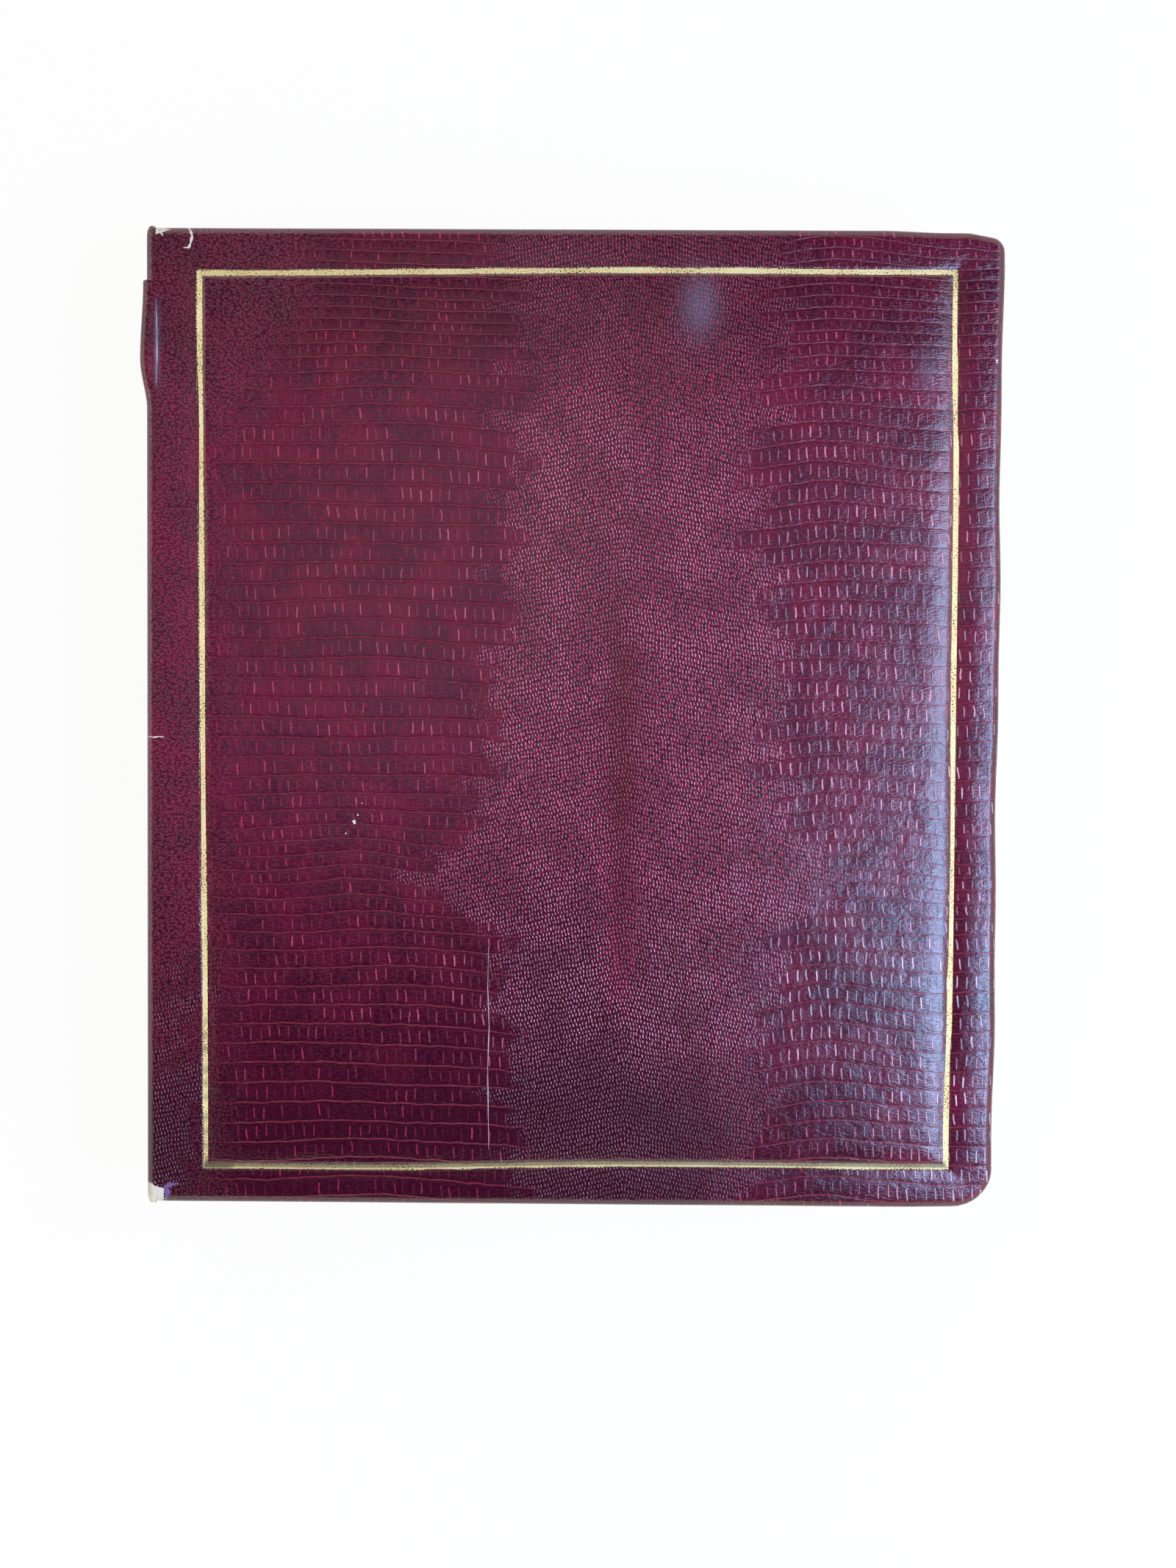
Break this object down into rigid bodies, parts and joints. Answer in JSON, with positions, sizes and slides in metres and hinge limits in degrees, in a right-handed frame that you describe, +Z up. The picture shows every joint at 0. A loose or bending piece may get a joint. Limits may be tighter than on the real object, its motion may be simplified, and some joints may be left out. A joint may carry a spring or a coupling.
{
  "type": "stamp album",
  "caption": "Closed peg-fitting stamp album with padded lizard-grained leather covers, a gold rule, a rolled spine, hinged leaves and a sliding peg lock.",
  "frame": {"origin": "middle of the footprint of the closed album, on the surface that it lies on", "axes": "+X from the spine to the fore-edge, +Y from tail to head, +Z up through the front cover"},
  "size_m": [0.2566, 0.292, 0.042],
  "materials": {
    "burgundy_leather": "lizard grain, glazed",
    "gold_foil": "stamped foil",
    "wadding": "matt",
    "grey_board": "matt",
    "endpaper": "matt",
    "lining_cloth": "book cloth",
    "plated_steel": "nickel plated",
    "stub_card": "matt",
    "hinge_linen": "woven",
    "leaf_paper": "matt"
  },
  "bodies": {
    "back_cover": {"back_leather": "burgundy_leather", "back_padding": "wadding", "back_board": "grey_board", "back_endpaper": "endpaper", "peg_plate": "plated_steel", "plate_rivets": "plated_steel", "pegs": "plated_steel", "clamp_bar": "plated_steel", "leaf_stubs": "stub_card", "linen_hinges": "hinge_linen"},
    "spine": {"spine_leather": "burgundy_leather", "spine_board": "grey_board", "spine_lining": "lining_cloth"},
    "front_cover": {"front_leather": "burgundy_leather", "front_gold_rule": "gold_foil", "front_padding": "wadding", "front_board": "grey_board", "front_endpaper": "endpaper"},
    "lock": {"lock_slide": "plated_steel", "lock_knob": "plated_steel"},
    "leaf_01": {"leaf_01": "leaf_paper"},
    "leaf_02": {"leaf_02": "leaf_paper"},
    "leaf_03": {"leaf_03": "leaf_paper"},
    "leaf_04": {"leaf_04": "leaf_paper"},
    "leaf_05": {"leaf_05": "leaf_paper"},
    "leaf_06": {"leaf_06": "leaf_paper"},
    "leaf_07": {"leaf_07": "leaf_paper"},
    "leaf_08": {"leaf_08": "leaf_paper"},
    "leaf_09": {"leaf_09": "leaf_paper"},
    "leaf_10": {"leaf_10": "leaf_paper"},
    "leaf_11": {"leaf_11": "leaf_paper"},
    "leaf_12": {"leaf_12": "leaf_paper"},
    "leaf_13": {"leaf_13": "leaf_paper"},
    "leaf_14": {"leaf_14": "leaf_paper"},
    "leaf_15": {"leaf_15": "leaf_paper"},
    "leaf_16": {"leaf_16": "leaf_paper"},
    "leaf_17": {"leaf_17": "leaf_paper"},
    "leaf_18": {"leaf_18": "leaf_paper"},
    "leaf_19": {"leaf_19": "leaf_paper"},
    "leaf_20": {"leaf_20": "leaf_paper"}
  },
  "joints": [
    {"name": "spine_fold", "type": "hinge", "parent": "back_cover", "child": "spine", "pos_m": [-0.12614, 0, 0.00056], "axis": [0, -1, 0], "range_deg": [0, 90]},
    {"name": "cover_fold", "type": "hinge", "parent": "spine", "child": "front_cover", "pos_m": [-0.12614, 0, 0.04144], "axis": [0, -1, 0], "range_deg": [0, 90]},
    {"name": "lock_travel", "type": "slide", "parent": "back_cover", "child": "lock", "axis": [0, 1, 0], "range_m": [0, 0.008]},
    {"name": "leaf_01_turn", "type": "hinge", "parent": "back_cover", "child": "leaf_01", "pos_m": [-0.0944, 0, 0.00856], "axis": [0, -1, 0], "range_deg": [0, 3.16]},
    {"name": "leaf_02_turn", "type": "hinge", "parent": "back_cover", "child": "leaf_02", "pos_m": [-0.0944, 0, 0.00975], "axis": [0, -1, 0], "range_deg": [0, 6.31]},
    {"name": "leaf_03_turn", "type": "hinge", "parent": "back_cover", "child": "leaf_03", "pos_m": [-0.0944, 0, 0.01095], "axis": [0, -1, 0], "range_deg": [0, 9.46]},
    {"name": "leaf_04_turn", "type": "hinge", "parent": "back_cover", "child": "leaf_04", "pos_m": [-0.0944, 0, 0.01215], "axis": [0, -1, 0], "range_deg": [0, 12.61]},
    {"name": "leaf_05_turn", "type": "hinge", "parent": "back_cover", "child": "leaf_05", "pos_m": [-0.0944, 0, 0.01336], "axis": [0, -1, 0], "range_deg": [0, 15.76]},
    {"name": "leaf_06_turn", "type": "hinge", "parent": "back_cover", "child": "leaf_06", "pos_m": [-0.0944, 0, 0.01456], "axis": [0, -1, 0], "range_deg": [0, 18.91]},
    {"name": "leaf_07_turn", "type": "hinge", "parent": "back_cover", "child": "leaf_07", "pos_m": [-0.0944, 0, 0.01576], "axis": [0, -1, 0], "range_deg": [0, 22.06]},
    {"name": "leaf_08_turn", "type": "hinge", "parent": "back_cover", "child": "leaf_08", "pos_m": [-0.0944, 0, 0.01696], "axis": [0, -1, 0], "range_deg": [0, 25.21]},
    {"name": "leaf_09_turn", "type": "hinge", "parent": "back_cover", "child": "leaf_09", "pos_m": [-0.0944, 0, 0.01816], "axis": [0, -1, 0], "range_deg": [0, 28.36]},
    {"name": "leaf_10_turn", "type": "hinge", "parent": "back_cover", "child": "leaf_10", "pos_m": [-0.0944, 0, 0.01936], "axis": [0, -1, 0], "range_deg": [0, 31.51]},
    {"name": "leaf_11_turn", "type": "hinge", "parent": "back_cover", "child": "leaf_11", "pos_m": [-0.0944, 0, 0.02056], "axis": [0, -1, 0], "range_deg": [0, 34.66]},
    {"name": "leaf_12_turn", "type": "hinge", "parent": "back_cover", "child": "leaf_12", "pos_m": [-0.0944, 0, 0.02176], "axis": [0, -1, 0], "range_deg": [0, 37.81]},
    {"name": "leaf_13_turn", "type": "hinge", "parent": "back_cover", "child": "leaf_13", "pos_m": [-0.0944, 0, 0.02295], "axis": [0, -1, 0], "range_deg": [0, 40.96]},
    {"name": "leaf_14_turn", "type": "hinge", "parent": "back_cover", "child": "leaf_14", "pos_m": [-0.0944, 0, 0.02415], "axis": [0, -1, 0], "range_deg": [0, 44.11]},
    {"name": "leaf_15_turn", "type": "hinge", "parent": "back_cover", "child": "leaf_15", "pos_m": [-0.0944, 0, 0.02535], "axis": [0, -1, 0], "range_deg": [0, 47.26]},
    {"name": "leaf_16_turn", "type": "hinge", "parent": "back_cover", "child": "leaf_16", "pos_m": [-0.0944, 0, 0.02655], "axis": [0, -1, 0], "range_deg": [0, 50.41]},
    {"name": "leaf_17_turn", "type": "hinge", "parent": "back_cover", "child": "leaf_17", "pos_m": [-0.0944, 0, 0.02775], "axis": [0, -1, 0], "range_deg": [0, 53.56]},
    {"name": "leaf_18_turn", "type": "hinge", "parent": "back_cover", "child": "leaf_18", "pos_m": [-0.0944, 0, 0.02896], "axis": [0, -1, 0], "range_deg": [0, 56.71]},
    {"name": "leaf_19_turn", "type": "hinge", "parent": "back_cover", "child": "leaf_19", "pos_m": [-0.0944, 0, 0.03016], "axis": [0, -1, 0], "range_deg": [0, 59.86]},
    {"name": "leaf_20_turn", "type": "hinge", "parent": "back_cover", "child": "leaf_20", "pos_m": [-0.0944, 0, 0.03136], "axis": [0, -1, 0], "range_deg": [0, 63.01]}
  ],
  "couplings": [
    {"joint": "leaf_01_turn", "follows": "cover_fold", "ratio": 0.035},
    {"joint": "leaf_02_turn", "follows": "cover_fold", "ratio": 0.07},
    {"joint": "leaf_03_turn", "follows": "cover_fold", "ratio": 0.105},
    {"joint": "leaf_04_turn", "follows": "cover_fold", "ratio": 0.14},
    {"joint": "leaf_05_turn", "follows": "cover_fold", "ratio": 0.175},
    {"joint": "leaf_06_turn", "follows": "cover_fold", "ratio": 0.21},
    {"joint": "leaf_07_turn", "follows": "cover_fold", "ratio": 0.245},
    {"joint": "leaf_08_turn", "follows": "cover_fold", "ratio": 0.28},
    {"joint": "leaf_09_turn", "follows": "cover_fold", "ratio": 0.315},
    {"joint": "leaf_10_turn", "follows": "cover_fold", "ratio": 0.35},
    {"joint": "leaf_11_turn", "follows": "cover_fold", "ratio": 0.385},
    {"joint": "leaf_12_turn", "follows": "cover_fold", "ratio": 0.42},
    {"joint": "leaf_13_turn", "follows": "cover_fold", "ratio": 0.455},
    {"joint": "leaf_14_turn", "follows": "cover_fold", "ratio": 0.49},
    {"joint": "leaf_15_turn", "follows": "cover_fold", "ratio": 0.525},
    {"joint": "leaf_16_turn", "follows": "cover_fold", "ratio": 0.56},
    {"joint": "leaf_17_turn", "follows": "cover_fold", "ratio": 0.595},
    {"joint": "leaf_18_turn", "follows": "cover_fold", "ratio": 0.63},
    {"joint": "leaf_19_turn", "follows": "cover_fold", "ratio": 0.665},
    {"joint": "leaf_20_turn", "follows": "cover_fold", "ratio": 0.7}
  ]
}
